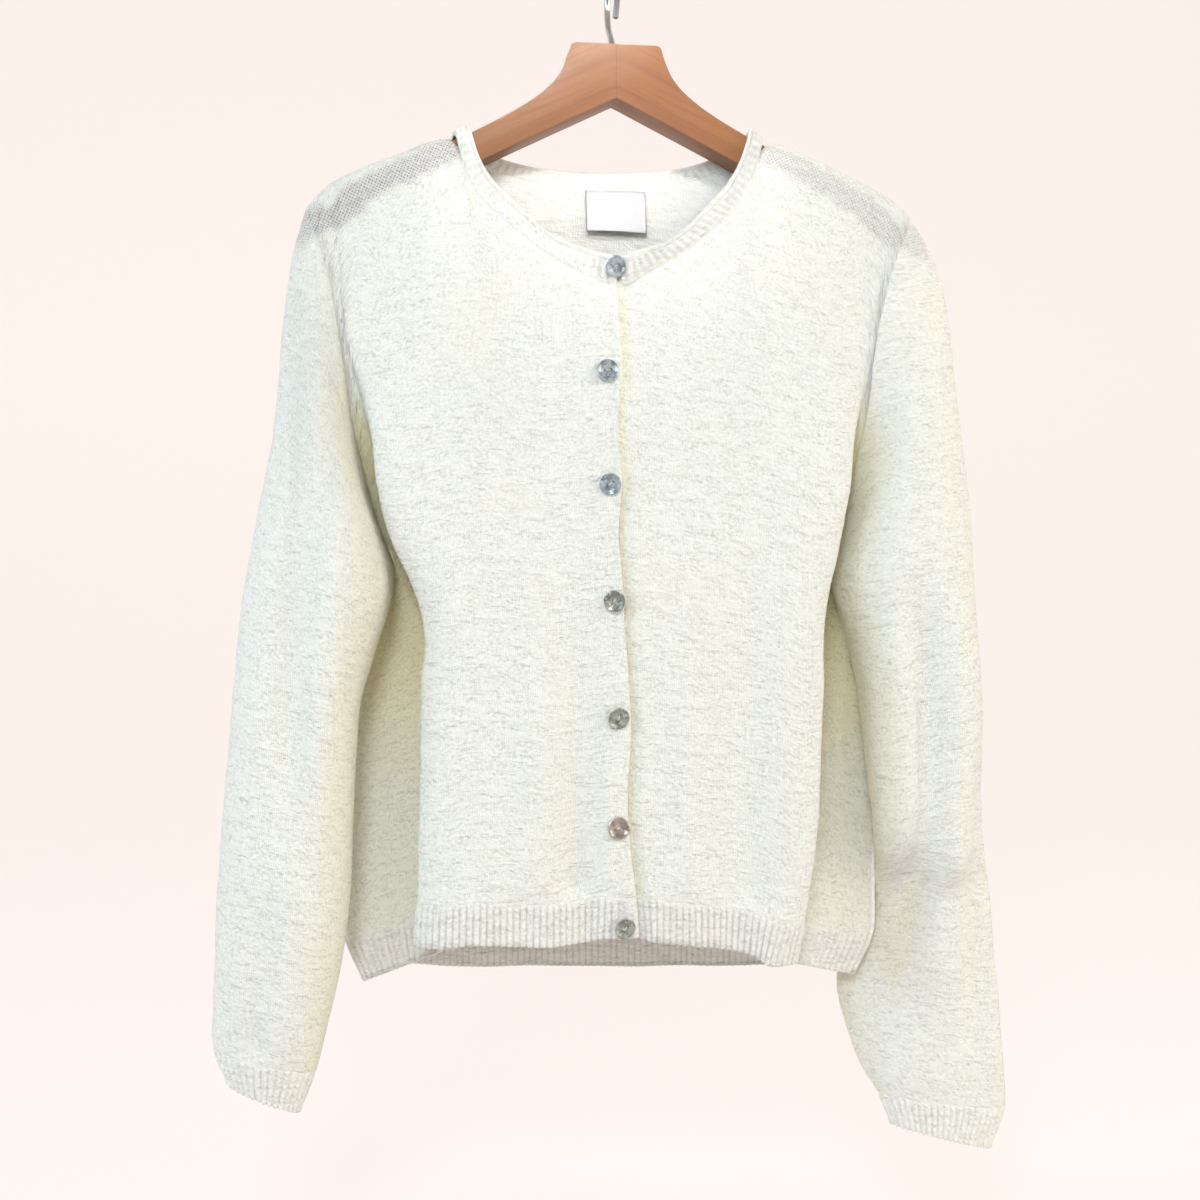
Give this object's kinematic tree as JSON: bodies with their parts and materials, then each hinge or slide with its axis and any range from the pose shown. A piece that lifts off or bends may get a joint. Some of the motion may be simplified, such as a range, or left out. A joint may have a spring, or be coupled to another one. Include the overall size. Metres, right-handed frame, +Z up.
{
  "type": "button cardigan on a hanger",
  "caption": "Round-neck knitted button cardigan with long sleeves, buttoned up and hanging on a plain wooden hanger with a wire hook.",
  "frame": {"origin": "inner top of the hanger's hook, where it bears on the rail", "axes": "+X to the viewer's right along the hanger, which is the wearer's left; +Y from the front of the garment to its back; +Z up"},
  "size_m": [0.5585, 0.1344, 0.8415],
  "materials": {
    "front_right_knit": "brushed cream wool-look knit",
    "front_left_knit": "brushed cream wool-look knit",
    "back_knit": "brushed cream wool-look knit",
    "sleeve_right_knit": "brushed cream wool-look knit",
    "sleeve_left_knit": "brushed cream wool-look knit",
    "hem_rib_front_right_knit": "brushed cream wool-look knit",
    "hem_rib_front_left_knit": "brushed cream wool-look knit",
    "hem_rib_back_knit": "brushed cream wool-look knit",
    "cuff_right_knit": "brushed cream wool-look knit",
    "cuff_left_knit": "brushed cream wool-look knit",
    "neckband_knit": "brushed cream wool-look knit",
    "button_1_shell": "two-hole mother-of-pearl look, polished",
    "button_2_shell": "two-hole mother-of-pearl look, polished",
    "button_3_shell": "two-hole mother-of-pearl look, polished",
    "button_4_shell": "two-hole mother-of-pearl look, polished",
    "button_5_shell": "two-hole mother-of-pearl look, polished",
    "button_6_shell": "two-hole mother-of-pearl look, polished",
    "button_7_shell": "two-hole mother-of-pearl look, polished",
    "neck_label_satin": "plain white satin ribbon",
    "hanger_bar_wood": "clear satin varnish",
    "hanger_hook_chrome": "polished chrome wire"
  },
  "bodies": {
    "root": {"front_right": "front_right_knit", "front_left": "front_left_knit", "back": "back_knit", "sleeve_right": "sleeve_right_knit", "sleeve_left": "sleeve_left_knit", "hem_rib_front_right": "hem_rib_front_right_knit", "hem_rib_front_left": "hem_rib_front_left_knit", "hem_rib_back": "hem_rib_back_knit", "cuff_right": "cuff_right_knit", "cuff_left": "cuff_left_knit", "neckband": "neckband_knit", "button_1": "button_1_shell", "button_2": "button_2_shell", "button_3": "button_3_shell", "button_4": "button_4_shell", "button_5": "button_5_shell", "button_6": "button_6_shell", "button_7": "button_7_shell", "neck_label": "neck_label_satin", "hanger_bar": "hanger_bar_wood", "hanger_hook": "hanger_hook_chrome"}
  },
  "joints": []
}
